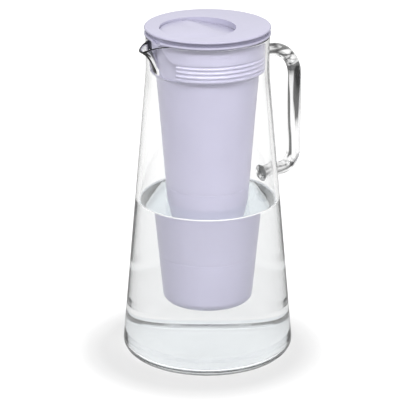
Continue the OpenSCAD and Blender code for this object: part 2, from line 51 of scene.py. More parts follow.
# insert, from the flange down
INSERT_LOW, INSERT_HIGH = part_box("reservoir")
FLANGE_Z = INSERT_HIGH.z
FLANGE_R = INSERT_HIGH.y
FLANGE_T = 2 * MM
SHELL_T = 2 * MM
SKIRT_T = 3.1 * MM
SEAM_Z = INSERT_LOW.z
CUP_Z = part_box("membrane_housing")[0].z
BOTTOM_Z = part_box("carbon_cup")[0].z
SEAM_GAP = 0.12 * MM              # visible gap between two stages
TAPER = 0.077                     # radius lost in each metre of height
SLOTS = 10                        # outlets in the cup's floor
SLOT_IN = 5 * MM
SLOT_OUT = 12 * MM
SLOT_HALF = 0.8 * MM

# jug
RIM_Z = FLANGE_Z - FLANGE_T
NECK_R = FLANGE_R - 1 * MM
NECK_Z = RIM_Z - 30 * MM
BASE_R = 69.6 * MM                # radius of the leaning wall, carried on to the table
GLASS_T = 3 * MM
FLOOR_T = 5 * MM
FOOT_ROUND = 8 * MM
RIM_ROUND = 1.4 * MM
FOOT_TRIM = 0.05 * MM             # keeps the foot inside the solid it stands for
JUG_SIDES = 256                   # facets round the glass and the water
HEEL_H = 12 * MM                  # thickened heel inside the wall
HEEL_T = 4 * MM
WALL_BEND = 110 * MM              # how gently the neck runs into the leaning wall
SLOPE = (BASE_R - NECK_R) / NECK_Z
LEAN = math.atan(SLOPE)
INNER_BASE_R = BASE_R - GLASS_T / math.cos(LEAN)
MOUTH_R = NECK_R - GLASS_T
INNER_NECK_Z = (INNER_BASE_R - MOUTH_R) / SLOPE
WATER_Z = 128.5 * MM

# spout
SPOUT_REACH = 65 * MM
SPOUT_HALF = 15.5 * MM
SPOUT_DEPTH = 26 * MM
LIP_FALL = 4 * MM

# handle
GRIP_X = 87 * MM
ROD_SIDES = 64
ROD_HALF_T = 5.15 * MM
ROD_HALF_W = 5.95 * MM
ARM_Z = RIM_Z - 23.5 * MM
HANDLE_FOOT_Z = ARM_Z - 102.5 * MM
TOP_BEND = 25 * MM
FOOT_BEND = 14 * MM
GRIP_MIDDLE_Z = (ARM_Z + HANDLE_FOOT_Z) / 2 - 5 * MM
# the handle's streaks are painted shade: dark surroundings seen through the rod, painted into its
# glass
GRIP_HALF = 34 * MM               # up to there from the middle its streaks are upright,
ARM_START = 46 * MM               # and from there on they follow the arms

# collar, seal and pour recess
COLLAR_R = MOUTH_R - 0.5 * MM
SHELL_TOP_R = MOUTH_R - 5 * MM
SHELL_Z = RIM_Z - 30 * MM
SEAL_Z = SHELL_Z + 5 * MM
SEAL_H = 11.3 * MM
SEAL_TOP = SEAL_Z + SEAL_H
SEAT_R = COLLAR_R - 1.4 * MM
RIB_R = MOUTH_R - 0.3 * MM
RIB_ROOT_R = RIB_R - 0.8 * MM
RECESS_R = SHELL_TOP_R + 0.3 * MM
RECESS_HALF = 16.8 * MM
RECESS_Z = SHELL_Z + 1.2 * MM
RECESS_EAVE = RECESS_Z + 13.8 * MM
RECESS_PEAK = RIM_Z - 3.5 * MM
KEY_HALF = 6.2 * MM
KEY_DROP = 2.8 * MM

# lid and flap
LID_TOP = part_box("lid_cover")[1].z
LID_T = 1.8 * MM
LID_Z = LID_TOP - LID_T
STEP_R = FLANGE_R - 3 * MM
LID_MOUTH_R = COLLAR_R - SHELL_T
PLUG_R = LID_MOUTH_R - 1.4 * MM
PLUG_Z = FLANGE_Z - 8 * MM
GASKET_Z = RIM_Z - 0.4 * MM
GASKET_H = 1.8 * MM
GASKET_SEAT = 0.8 * MM
OPENING_R = 29.9 * MM
OPENING_X = -9.5 * MM
OPENING_HALF = OPENING_R * math.cos(math.asin(-OPENING_X / OPENING_R))     # at the hinge line
FLAP_R = OPENING_R - 0.5 * MM
FLAP_TOP = LID_TOP - 1.8 * MM
FLAP_T = 2.6 * MM
SCOOP_FALL = 3.2 * MM
LEDGE_X = -8 * MM                 # where the flap's ledge stops, short of the hinge
LID_CLEAR = 60 * MM               # past the lid on every side
PIN_R = 1 * MM
HINGE_Z = FLAP_TOP - 2 * MM
BORE_HALF = 35 * MM               # reach of the pin's bore to each side
BARREL_R = PIN_R + 0.9 * MM


def shell_r(z):
    """Outer radius of the insert's tapered shell at a height."""
    return SHELL_TOP_R - TAPER * (SHELL_Z - z)


# ---------------------------------------------------------------- modelling helpers
def deselect():
    if bpy.context.object and bpy.context.object.mode != "OBJECT":
        bpy.ops.object.mode_set(mode="OBJECT")
    bpy.ops.object.select_all(action="DESELECT")


def only(piece):
    deselect()
    piece.select_set(True)
    bpy.context.view_layer.objects.active = piece


def named(name):
    """Names the primitive that was just added, and puts its place into its mesh."""
    piece = bpy.context.object
    piece.name = name
    piece.data.name = name
    bpy.ops.object.transform_apply(location=True, rotation=True, scale=True)
    return piece


def pick(piece, test, kind="VERT"):
    """In edit mode, selects only the vertices, edges or faces whose middle passes the test."""
    bpy.ops.mesh.select_mode(type=kind)
    bpy.ops.mesh.select_all(action="DESELECT")
    shape = bmesh.from_edit_mesh(piece.data)
    if kind == "VERT":
        for vert in shape.verts:
            vert.select_set(test(vert.co))
    elif kind == "EDGE":
        for edge in shape.edges:
            edge.select_set(test((edge.verts[0].co + edge.verts[1].co) / 2))
    else:
        for face in shape.faces:
            face.select_set(test(face.calc_center_median()))
    shape.select_flush_mode()
    bmesh.update_edit_mesh(piece.data)


def finish_mesh(piece, smooth_angle=32):
    """Merges doubles, turns the normals outwards and shades the piece."""
    only(piece)
    bpy.ops.object.mode_set(mode="EDIT")
    bpy.ops.mesh.select_all(action="SELECT")
    bpy.ops.mesh.remove_doubles(threshold=NEAR)
    bpy.ops.mesh.normals_make_consistent(inside=False)
    bpy.ops.object.mode_set(mode="OBJECT")
    bpy.ops.object.shade_smooth_by_angle(angle=math.radians(smooth_angle))
    return piece


def softened(corners, step=math.radians(10)):
    """Turns (radius, height, rounding) corners into points, with an arc at each rounded corner."""
    points = []
    for i, (r, z, rounding) in enumerate(corners):
        here = Vector((r, z))
        if not rounding or i in (0, len(corners) - 1):
            points.append(here)
            continue
        back = (Vector(corners[i - 1][:2]) - here).normalized()
        on = (Vector(corners[i + 1][:2]) - here).normalized()
        half = back.angle(on) / 2
        centre = here + (back + on).normalized() * (rounding / math.sin(half))
        start = here + back * (rounding / math.tan(half)) - centre
        turn = math.pi - 2 * half
        if start.x * back.y - start.y * back.x > 0:
            turn = -turn
        count = max(2, math.ceil(abs(turn) / step))
        for k in range(count + 1):
            points.append(centre + Matrix.Rotation(turn * k / count, 2) @ start)
    return points


def ruled(points, low, high, step):
    """Adds points along the upright stretches between two heights, so that they can be shaped."""
    dense = [points[0]]
    for a, b in zip(points, points[1:]):
        if low < max(a.y, b.y) and min(a.y, b.y) < high:
            count = max(1, math.ceil((b - a).length / step))
            dense += [a.lerp(b, k / count) for k in range(1, count)]
        dense.append(b)
    return dense


def turned(name, points, sides=SIDES):
    """Turns an outline of (radius, height) points about Z; ends on the axis become poles."""
    start = next(i for i, p in enumerate(points) if p.x > NEAR)
    deselect()
    bpy.ops.mesh.primitive_circle_add(vertices=sides, radius=points[start].x,
                                      location=(0, 0, points[start].y))
    piece = named(name)
    bpy.ops.object.mode_set(mode="EDIT")
    bpy.ops.mesh.select_mode(type="EDGE")
    bpy.ops.mesh.select_all(action="SELECT")
    for a, b in zip(points[start:], points[start + 1:]):
        scale = b.x / a.x
        bpy.ops.mesh.extrude_edges_move(TRANSFORM_OT_translate={"value": (0, 0, b.y - a.y)})
        bpy.ops.transform.resize(value=(scale, scale, 1), center_override=(0, 0, b.y))
    if start:
        pick(piece, lambda co: abs(co.z - points[start].y) < NEAR
             and abs(co.xy.length - points[start].x) < NEAR)
        drop = points[0].y - points[start].y
        bpy.ops.mesh.extrude_edges_move(TRANSFORM_OT_translate={"value": (0, 0, drop)})
        bpy.ops.transform.resize(value=(0, 0, 1), center_override=(0, 0, points[0].y))
    bpy.ops.object.mode_set(mode="OBJECT")
    return finish_mesh(piece)


def ring_outline(*corners):
    """Outline of a ring, closed by its own first corner."""
    points = softened(list(corners))
    return points + [points[0]]


def apply_modifier(piece, kind, **settings):
    only(piece)
    modifier = piece.modifiers.new(kind.lower(), kind)
    for key, value in settings.items():
        setattr(modifier, key, value)
    bpy.ops.object.modifier_apply(modifier=modifier.name)


def combine(piece, other, how):
    """Cuts, joins or intersects a piece with another, which is used up."""
    apply_modifier(piece, "BOOLEAN", operation=how, object=other, solver="EXACT")
    bpy.data.objects.remove(other)
    return piece


def rod(name, radius, low, high, sides=96, centre=(0, 0)):
    """Upright cylinder between two heights."""
    deselect()
    bpy.ops.mesh.primitive_cylinder_add(vertices=sides, radius=radius, depth=high - low,
                                        location=(centre[0], centre[1], (low + high) / 2))
    return named(name)


def axle(name, radius, low, high, sides=48):
    """Cylinder along the flap's hinge line, between two distances from the middle."""
    deselect()
    bpy.ops.mesh.primitive_cylinder_add(vertices=sides, radius=radius, depth=high - low,
                                        location=(0, (low + high) / 2, HINGE_Z),
                                        rotation=(math.pi / 2, 0, 0))
    return named(name)


def slab(name, low, high):
    """Upright box between two corners."""
    low, high = Vector(low), Vector(high)
    deselect()
    bpy.ops.mesh.primitive_cube_add(size=1, location=(low + high) / 2, scale=high - low)
    return named(name)


# ---------------------------------------------------------------- materials
LAVENDER = (0.402, 0.391, 0.499)
WATER_TINT = (0.52, 0.62, 0.67)
WATER_DENSITY = 1.0
GLASS_TINT = (0.66, 0.72, 0.74)
GLASS_DENSITY = 3.0
# painted dark streaks in the handle's glass, standing in for dark surroundings seen through it
PAINTED_STREAK_SCALE = 230                # streaks in the handle, to the metre
PAINTED_STREAK_PULL = 0.06                # how drawn out they are along the rod


def ramp_output(tree, fac, stops):
    """Colour of a ramp with (position, colour) stops."""
    made = tree.nodes.new("ShaderNodeValToRGB")
    tree.links.new(fac, made.inputs["Fac"])
    elements = made.color_ramp.elements
    for element, (position, color) in zip(elements, (stops[0], stops[-1])):
        element.position = position
        element.color = (*color, 1)
    for position, color in stops[1:-1]:
        elements.new(position).color = (*color, 1)
    return made.outputs["Color"]


def greys(stops):
    """Stops of one level each, as colours."""
    return [(position, (level,) * 3) for position, level in stops]


class Finish:
    """A node material that is built round one Principled shader."""

    def __init__(self, name, color, roughness, **sockets):
        self.material = bpy.data.materials.new(name)
        self.material.use_nodes = True
        self.tree = self.material.node_tree
        self.shader = self.tree.nodes["Principled BSDF"]
        self.shader.inputs["Base Color"].default_value = (*color, 1)
        self.shader.inputs["Roughness"].default_value = roughness
        for key, value in sockets.items():
            self.shader.inputs[key.replace("_", " ")].default_value = value
        self.place = self.tree.nodes.new("ShaderNodeTexCoord").outputs["Object"]

    def add(self, kind, links=(), **settings):
        """Adds a node; settings are its properties or its sockets, with _ for each space."""
        made = self.tree.nodes.new("ShaderNode" + kind)
        for key, value in settings.items():
            if hasattr(made, key):
                setattr(made, key, value)
            else:
                made.inputs[key.replace("_", " ")].default_value = value
        for key, output in dict(links).items():
            self.tree.links.new(output, made.inputs[key])
        return made

    def noise(self, scale, detail=3, stretch=None):
        """Noise with so many blobs to the metre; stretch scales it along each axis."""
        place = self.place
        if stretch:
            place = self.add("Mapping", {"Vector": place}, Scale=stretch).outputs["Vector"]
        return self.add("TexNoise", {"Vector": place}, Scale=scale, Detail=detail).outputs["Fac"]

    def grains(self, scale, output="Distance"):
        return self.add("TexVoronoi", {"Vector": self.place}, Scale=scale).outputs[output]

    def ramp(self, fac, *stops):
        return ramp_output(self.tree, fac, stops)

    def span(self, fac, low, high):
        return self.add("MapRange", {"Value": fac}, To_Min=low, To_Max=high).outputs["Result"]

    def to(self, socket, output):
        self.tree.links.new(output, self.shader.inputs[socket])
        return self

    def bump(self, height, distance):
        made = self.add("Bump", {"Height": height}, Strength=1.0, Distance=distance)
        return self.to("Normal", made.outputs["Normal"])

    def tinted(self, color, density):
        """Absorbs a little light inside the piece."""
        haze = self.add("VolumeAbsorption", Color=(*color, 1), Density=density)
        out = self.tree.nodes["Material Output"]
        self.tree.links.new(haze.outputs["Volume"], out.inputs["Volume"])
        return self


def shades(color, amount):
    """A darker and a lighter shade of a colour."""
    return tuple(c * (1 - amount) for c in color), tuple(min(1, c * (1 + amount)) for c in color)


def moulded(name, color, roughness, grain, drift=0.018):
    """Moulded plastic or rubber: faint shade drift, satin grain and slightly uneven gloss."""
    made = Finish(name, color, roughness)
    dark, light = shades(color, drift)
    made.to("Base Color", made.ramp(made.noise(28, 2), (0.35, dark), (0.65, light)))
    made.to("Roughness", made.span(made.noise(420), roughness - 0.04, roughness + 0.05))
    return made.bump(made.noise(2600, 2), grain).material


def lavender_plastic():
    return moulded("lavender plastic", LAVENDER, 0.32, 0.006 * MM)


def lavender_silicone():
    return moulded("lavender silicone", LAVENDER, 0.42, 0.008 * MM)


def white_silicone():
    return moulded("white silicone", (0.72, 0.72, 0.70), 0.48, 0.010 * MM)


def black_rubber():
    return moulded("black rubber", (0.022, 0.022, 0.024), 0.40, 0.006 * MM, 0.15)


def white_plastic():
    return moulded("white plastic", (0.74, 0.74, 0.72), 0.38, 0.012 * MM)


def brushed_steel():
    """Fine stainless steel, brushed one way, with a few dull patches."""
    made = Finish("brushed steel", (0.62, 0.62, 0.63), 0.28, Metallic=1.0)
    brushing = made.noise(900, 4, (1, 14, 14))
    made.to("Base Color", made.ramp(brushing, (0.3, (0.52, 0.52, 0.53)),
                                    (0.7, (0.70, 0.70, 0.70))))
    made.to("Roughness", made.span(made.noise(160), 0.22, 0.38))
    return made.bump(brushing, 0.006 * MM).material


def potting_resin():
    """Cast resin, honey coloured, with cloudy streaks."""
    made = Finish("potting resin", (0.62, 0.47, 0.22), 0.20, Coat_Weight=0.4)
    made.to("Base Color", made.ramp(made.noise(190, 4), (0.3, (0.50, 0.35, 0.14)),
                                    (0.7, (0.70, 0.55, 0.29))))
    return made.bump(made.noise(500), 0.02 * MM).material


def hollow_fibre():
    """Milky membrane fibre with a fine lengthwise grain."""
    made = Finish("hollow fibre", (0.80, 0.80, 0.76), 0.45, Subsurface_Weight=0.15)
    lengthwise = made.noise(4200, 3, (1, 1, 0.08))
    made.to("Base Color", made.ramp(lengthwise, (0.3, (0.70, 0.70, 0.65)),
                                    (0.7, (0.86, 0.86, 0.83))))
    return made.bump(lengthwise, 0.02 * MM).material


def needled_felt():
    """White filter felt: tangled fibres that catch the light."""
    made = Finish("needled felt", (0.76, 0.74, 0.68), 0.90, Sheen_Weight=0.35)
    tangle = made.noise(2400, 6, (1, 1, 3))
    made.to("Base Color", made.ramp(tangle, (0.35, (0.60, 0.58, 0.51)),
                                    (0.65, (0.84, 0.82, 0.77))))
    return made.bump(tangle, 0.25 * MM).material


def packed_grains(name, dark, light, size, roughness, relief):
    """Loose grains packed together, each with its own shade."""
    made = Finish(name, light, roughness)
    shade = made.add("SeparateColor", {"Color": made.grains(1 / size, "Color")}).outputs["Red"]
    made.to("Base Color", made.ramp(shade, (0.0, dark), (1.0, light)))
    dome = made.span(made.grains(1 / size), 1.0, 0.0)
    return made.bump(dome, relief).material


def resin_beads():
    return packed_grains("resin beads", (0.30, 0.13, 0.02), (0.58, 0.31, 0.07), 0.7 * MM, 0.22,
                         0.35 * MM)


def granular_carbon():
    return packed_grains("granular carbon", (0.008, 0.008, 0.009), (0.035, 0.035, 0.037),
                         1.1 * MM, 0.55, 0.5 * MM)


def plain_glass(name):
    """Glass with a trace of grey in its depth."""
    made = Finish(name, (1, 1, 1), 0.0, Transmission_Weight=1.0, IOR=1.5)
    return made.tinted(GLASS_TINT, GLASS_DENSITY)


def clear_glass():
    """The jug's blown glass, with a slow ripple in its surface."""
    made = plain_glass("blown glass")
    return made.bump(made.noise(22, 1), 0.04 * MM).material


def handle_glass_painted_streaks():
    """The handle's glass, with painted dark streaks along it that stand in for dark surroundings
    seen through the bent rod; the same pattern bumps its surface.
    """
    made = plain_glass("drawn glass")
    height = made.add("SeparateXYZ", {"Vector": made.place}).outputs["Z"]
    above = made.add("Math", {0: height}, operation="SUBTRACT")
    above.inputs[1].default_value = GRIP_MIDDLE_Z
    away = made.add("Math", {0: above.outputs["Value"]}, operation="ABSOLUTE")
    on_arm = made.add("MapRange", {"Value": away.outputs["Value"]}, From_Min=GRIP_HALF,
                      From_Max=ARM_START)
    painted_streak = made.add("MixRGB", {
        "Fac": on_arm.outputs["Result"],
        "Color1": made.noise(PAINTED_STREAK_SCALE, 1, (1, 1, PAINTED_STREAK_PULL)),
        "Color2": made.noise(PAINTED_STREAK_SCALE, 1, (PAINTED_STREAK_PULL, 1, 1))}).outputs["Color"]
    # painted shade: the streaks go near black in the glass's colour
    made.to("Base Color", made.ramp(painted_streak, *greys(((0.41, 0.03), (0.47, 0.60), (0.55, 1)))))
    return made.bump(painted_streak, 0.5 * MM).material


def clear_water():
    """Water, with ripples on its upper face alone, a painted blue tint on that face, and a painted
    bright line where it wets the glass.
    """
    made = Finish("water", (1, 1, 1), 0.0, Transmission_Weight=1.0, IOR=1.333)
    facing = made.add("SeparateXYZ", {"Vector": made.add("NewGeometry").outputs["Normal"]})
    ripple = made.add("Math", {0: facing.outputs["Z"], 1: made.noise(55, 2)}, operation="MULTIPLY")
    made.bump(ripple.outputs["Value"], 0.25 * MM)
    # painted reflection: upward faces are tinted blue, standing in for bluish reflections on the
    # surface
    made.to("Base Color", made.ramp(facing.outputs["Z"], (0.5, (1, 1, 1)),
                                    (0.9, (0.90, 0.96, 1.0))))
    height = made.add("SeparateXYZ", {"Vector": made.place}).outputs["Z"]
    # painted highlight: where the water creeps up the glass it is made less clear, so its white
    # colour shows as a bright line
    edge = made.add("MapRange", {"Value": height}, From_Min=WATER_Z + 0.1 * MM,
                    From_Max=WATER_Z + 0.5 * MM, To_Min=1.0, To_Max=0.35)
    made.to("Transmission Weight", edge.outputs["Result"])
    return made.tinted(WATER_TINT, WATER_DENSITY).material


def dress(piece, material):
    """Gives a piece its one material."""
    piece.data.materials.clear()
    piece.data.materials.append(material)


def stand_for(piece, body, material, slot, *nodes):
    """Gives a finished piece its material and body, in place of the nodes that it stands for."""
    dress(piece, material)
    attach(piece, body)
    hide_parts(*nodes)


# ---------------------------------------------------------------- glass jug
def heel(creep):
    """Corners of the thick heel inside the jug, a creep deeper than the glass's surface."""
    low, top = FLOOR_T - creep, FLOOR_T + HEEL_H
    return [(INNER_BASE_R + creep - SLOPE * top, top, 2 * MM),
            (INNER_BASE_R + creep - HEEL_T, low, 3 * MM)]


def jug_outline():
    """Outside from the foot up, then inside from the rim down."""
    outer = [(0, 0, 0), (BASE_R - FOOT_TRIM, 0, FOOT_ROUND), (NECK_R, NECK_Z, WALL_BEND),
             (NECK_R, RIM_Z, RIM_ROUND)]
    inner = [(MOUTH_R, RIM_Z, RIM_ROUND), (MOUTH_R, INNER_NECK_Z, WALL_BEND),
             *heel(0), (0, FLOOR_T, 0)]
    points = softened(outer + inner, math.radians(7))
    return ruled(points, RIM_Z - SPOUT_DEPTH - 6 * MM, RIM_Z - 2 * MM, 1.6 * MM)


def spout_share(co):
    """How much of the spout's push and fall a point of the neck takes: one at the pouring tip."""
    rise = (co.z - (RIM_Z - SPOUT_DEPTH)) / SPOUT_DEPTH
    half = SPOUT_HALF * (0.55 + 0.45 * rise)
    if rise <= 0 or co.x > 0 or abs(co.y) >= half:
        return 0.0, 0.0
    middle = (0.5 + 0.5 * math.cos(math.pi * co.y / half)) ** 0.9
    return middle * (0.72 * rise ** 1.15 + 0.28 * rise ** 5), middle ** 2.4 * rise ** 2


def form_spout(piece):
    """Pulls the front of the neck out into a pouring lip that dips at its tip."""
    push = piece.vertex_groups.new(name="push")
    fall = piece.vertex_groups.new(name="fall")
    for vert in piece.data.vertices:
        out, down = spout_share(vert.co)
        if out > 0:
            push.add([vert.index], out, "REPLACE")
            fall.add([vert.index], down, "REPLACE")
    apply_modifier(piece, "DISPLACE", direction="X", strength=NECK_R - SPOUT_REACH, mid_level=0,
                   vertex_group="push")
    apply_modifier(piece, "DISPLACE", direction="Z", strength=-LIP_FALL, mid_level=0,
                   vertex_group="fall")
    piece.vertex_groups.clear()


def glass_jug():
    """Tapered jug with a straight neck and a pouring lip."""
    piece = turned("glass_jug", jug_outline(), JUG_SIDES)
    form_spout(piece)
    return finish_mesh(piece)


def draw_on(centre, move, grow=1.0):
    """Extrudes the selected end of the rod, and widens it about its new centre."""
    bpy.ops.mesh.extrude_edges_move(TRANSFORM_OT_translate={"value": move})
    centre += Vector(move)
    bpy.ops.transform.resize(value=(1, grow, grow), center_override=centre)


def glass_handle():
    """Bent glass rod, with a foot that spreads where it is welded to the wall."""
    spread = (1.30, 1.14, 1.04)
    step = 1.6 * MM
    wall_x = BASE_R - SLOPE * HANDLE_FOOT_Z
    centre = Vector((NECK_R - 0.3 * MM, 0, ARM_Z))
    deselect()
    bpy.ops.mesh.primitive_circle_add(vertices=ROD_SIDES, radius=1, location=centre,
                                      rotation=(0, math.pi / 2, 0))
    bpy.context.object.scale = (ROD_HALF_T * spread[0], ROD_HALF_W * spread[0], 1)
    piece = named("glass_handle")
    bpy.ops.object.mode_set(mode="EDIT")
    bpy.ops.mesh.select_mode(type="EDGE")
    bpy.ops.mesh.select_all(action="SELECT")
    for before, after in zip(spread, spread[1:] + (1.0,)):
        draw_on(centre, (step, 0, 0), after / before)
    draw_on(centre, (GRIP_X - TOP_BEND - centre.x, 0, 0))
    bpy.ops.mesh.spin(steps=16, angle=-math.pi / 2, axis=(0, 1, 0),
                      center=(GRIP_X - TOP_BEND, 0, ARM_Z - TOP_BEND))
    centre = Vector((GRIP_X, 0, ARM_Z - TOP_BEND))
    for _ in range(8):
        draw_on(centre, (0, 0, (HANDLE_FOOT_Z + FOOT_BEND - ARM_Z + TOP_BEND) / 8))
    bpy.ops.mesh.spin(steps=12, angle=-math.pi / 2, axis=(0, 1, 0),
                      center=(GRIP_X - FOOT_BEND, 0, HANDLE_FOOT_Z + FOOT_BEND))
    centre = Vector((GRIP_X - FOOT_BEND, 0, HANDLE_FOOT_Z))
    draw_on(centre, (wall_x - 0.4 * MM + 3 * step - centre.x, 0, 0))
    for before, after in zip((1.0,) + spread[:0:-1], spread[::-1]):
        draw_on(centre, (-step, 0, 0), after / before)
    bpy.ops.mesh.select_all(action="SELECT")
    bpy.ops.mesh.fill_holes(sides=0)
    bpy.ops.object.mode_set(mode="OBJECT")
    return finish_mesh(piece, 40)


def water():
    """The jug's filling, which wets the glass and creeps up it a little."""
    wet = 0.25 * MM
    creep = 1.3 * MM
    wall_r = INNER_BASE_R + wet - SLOPE * WATER_Z
    return turned("water", softened([
        (0, FLOOR_T - wet, 0), *heel(wet)[::-1], (wall_r, WATER_Z + creep, 0),
        (wall_r - 0.7 * MM, WATER_Z + 0.3 * creep, 1.2 * MM),
        (wall_r - 3 * MM, WATER_Z, 3 * MM), (0, WATER_Z, 0)], math.radians(6)), JUG_SIDES)


# ---------------------------------------------------------------- insert
def recess_block(name, grow, low):
    """House-shaped block through the front of the collar."""
    half = RECESS_HALF + grow
    roof = math.atan((RECESS_PEAK - RECESS_EAVE) / RECESS_HALF)
    peak = RECESS_PEAK + grow / math.cos(roof)
    eave = peak - half * math.tan(roof)
    piece = slab(name, (-NECK_R - 10 * MM, -half, low), (-RECESS_R + 8 * MM, half, eave))
    bpy.ops.object.mode_set(mode="EDIT")
    bpy.ops.mesh.select_all(action="SELECT")
    bpy.ops.mesh.bisect(plane_co=(0, 0, 0), plane_no=(0, 1, 0))
    pick(piece, lambda co: abs(co.y) < NEAR and co.z > eave - NEAR)
    bpy.ops.transform.translate(value=(0, 0, peak - eave))
    bpy.ops.object.mode_set(mode="OBJECT")
    return piece


def recess_cut(grow=0.0):
    """Block that cuts the pour recess out of the collar, down to the shell's radius."""
    block = recess_block("recess_cut", grow, RECESS_Z)
    return combine(block, rod("core", RECESS_R, SHELL_Z - 9 * MM, LID_TOP, SIDES), "DIFFERENCE")


def key_wedge(name, z, in_r, out_r):
    """Wedge towards the spout, V-shaped from below, with its upper face at a height."""
    deep = KEY_DROP + 0.5 * MM
    wide = KEY_HALF * deep / KEY_DROP
    piece = slab(name, (-out_r, -wide, z - deep), (-in_r, wide, z))
    bpy.ops.object.mode_set(mode="EDIT")
    pick(piece, lambda co: co.z < z - deep / 2)
    bpy.ops.transform.resize(value=(1, 0, 1), center_override=(0, 0, z - deep))
    bpy.ops.object.mode_set(mode="OBJECT")
    return finish_mesh(piece)


def reservoir_shell():
    """Moulded reservoir: tapered shell, stepped collar with the pour recess, and the flange."""
    floor_top = SEAM_Z + 12 * MM
    socket_r = 9.3 * MM
    boss_r = socket_r + 2.7 * MM
    neck_in = SEAT_R - SHELL_T
    foot = RIM_Z + 0.02 * MM
    piece = turned("reservoir_shell", ring_outline(
        (shell_r(SEAM_Z), SEAM_Z, 0.35 * MM), (SHELL_TOP_R, SHELL_Z, 3 * MM),
        (SEAT_R, SHELL_Z + 2.5 * MM, 1 * MM), (COLLAR_R, SHELL_Z + 3.2 * MM, 0.5 * MM),
        (COLLAR_R, SEAL_Z, 0.3 * MM), (SEAT_R, SEAL_Z, 0), (SEAT_R, SEAL_TOP, 0),
        (COLLAR_R, SEAL_TOP, 0.3 * MM), (COLLAR_R, foot, 0),
        (FLANGE_R, foot, 0.9 * MM), (FLANGE_R, FLANGE_Z, 0.9 * MM),
        (LID_MOUTH_R, FLANGE_Z, 0.4 * MM), (LID_MOUTH_R, SEAL_TOP + 1 * MM, 0.5 * MM),
        (neck_in, SEAL_TOP - 1 * MM, 0.5 * MM), (neck_in, SHELL_Z + 4 * MM, 1 * MM),
        (RECESS_R - SHELL_T, SHELL_Z + 2.5 * MM, 1 * MM),
        (shell_r(SHELL_Z - 4 * MM) - SHELL_T, SHELL_Z - 4 * MM, 0),
        (shell_r(floor_top) - SHELL_T, floor_top, 2 * MM), (boss_r, floor_top, 0.4 * MM),
        (boss_r, floor_top + 4 * MM, 0.3 * MM), (socket_r, floor_top + 4 * MM, 0.3 * MM),
        (socket_r, floor_top - SHELL_T, 0), (shell_r(SEAM_Z) - SKIRT_T, floor_top - SHELL_T, 0),
        (shell_r(SEAM_Z) - SKIRT_T, SEAM_Z, 0), (shell_r(SEAM_Z) - 1 * MM, SEAM_Z, 0)))
    wall = recess_block("wall", SHELL_T, SHELL_Z + 2.6 * MM)
    combine(wall, rod("inside", RECESS_R - SHELL_T, SHELL_Z, LID_TOP, SIDES), "DIFFERENCE")
    combine(wall, rod("outside", SEAT_R - 0.05 * MM, SHELL_Z, LID_TOP, SIDES), "INTERSECT")
    combine(piece, wall, "UNION")
    combine(piece, key_wedge("key", RIM_Z + 0.5 * MM, COLLAR_R - 1 * MM, FLANGE_R - 0.6 * MM),
            "UNION")
    combine(piece, recess_cut(), "DIFFERENCE")
    combine(piece, key_wedge("groove", FLANGE_Z + 0.5 * MM, STEP_R + 0.3 * MM, FLANGE_R + 1 * MM),
            "DIFFERENCE")
    return finish_mesh(piece, 28)


def ribbed_band():
    """Soft band with three rounded ribs, cut away at the pour recess."""
    pitch = (SEAL_H - 1.2 * MM) / 3
    corners = [(SEAT_R, SEAL_Z, 0), (RIB_ROOT_R, SEAL_Z, 0.25 * MM)]
    for i in range(3):
        z = SEAL_Z + 0.4 * MM + i * pitch
        corners += [(RIB_ROOT_R, z + 0.6 * MM, 0.35 * MM), (RIB_R, z + 1.4 * MM, 0.45 * MM),
                    (RIB_R, z + 2.1 * MM, 0.45 * MM), (RIB_ROOT_R, z + 2.9 * MM, 0.35 * MM)]
    corners += [(RIB_ROOT_R, SEAL_TOP, 0.25 * MM), (SEAT_R, SEAL_TOP, 0)]
    piece = turned("ribbed_band", ring_outline(*corners))
    combine(piece, recess_cut(0.3 * MM), "DIFFERENCE")
    return finish_mesh(piece, 40)


def membrane_shell():
    """Shell of the membrane stage, with a lip that plugs into the reservoir's skirt."""
    top = SEAM_Z - SEAM_GAP
    lip = shell_r(SEAM_Z) - SKIRT_T - 0.15 * MM
    foot = SEAM_Z - 6 * MM
    skirt = shell_r(CUP_Z) - SKIRT_T
    chamber = CUP_Z + 10 * MM
    shelf = skirt - 5 * MM
    return turned("membrane_shell", ring_outline(
        (shell_r(CUP_Z), CUP_Z, 0.25 * MM), (shell_r(top), top, 0.35 * MM), (lip, top, 0),
        (lip, foot, 0), (shell_r(foot) - SHELL_T, foot - 1.2 * MM, 0),
        (shell_r(chamber) - SHELL_T, chamber, 0), (shelf, chamber, 0),
        (shelf, chamber - 2 * MM, 0), (skirt, chamber - 2 * MM, 0), (skirt, CUP_Z, 0),
        (shell_r(CUP_Z) - 1 * MM, CUP_Z, 0)))


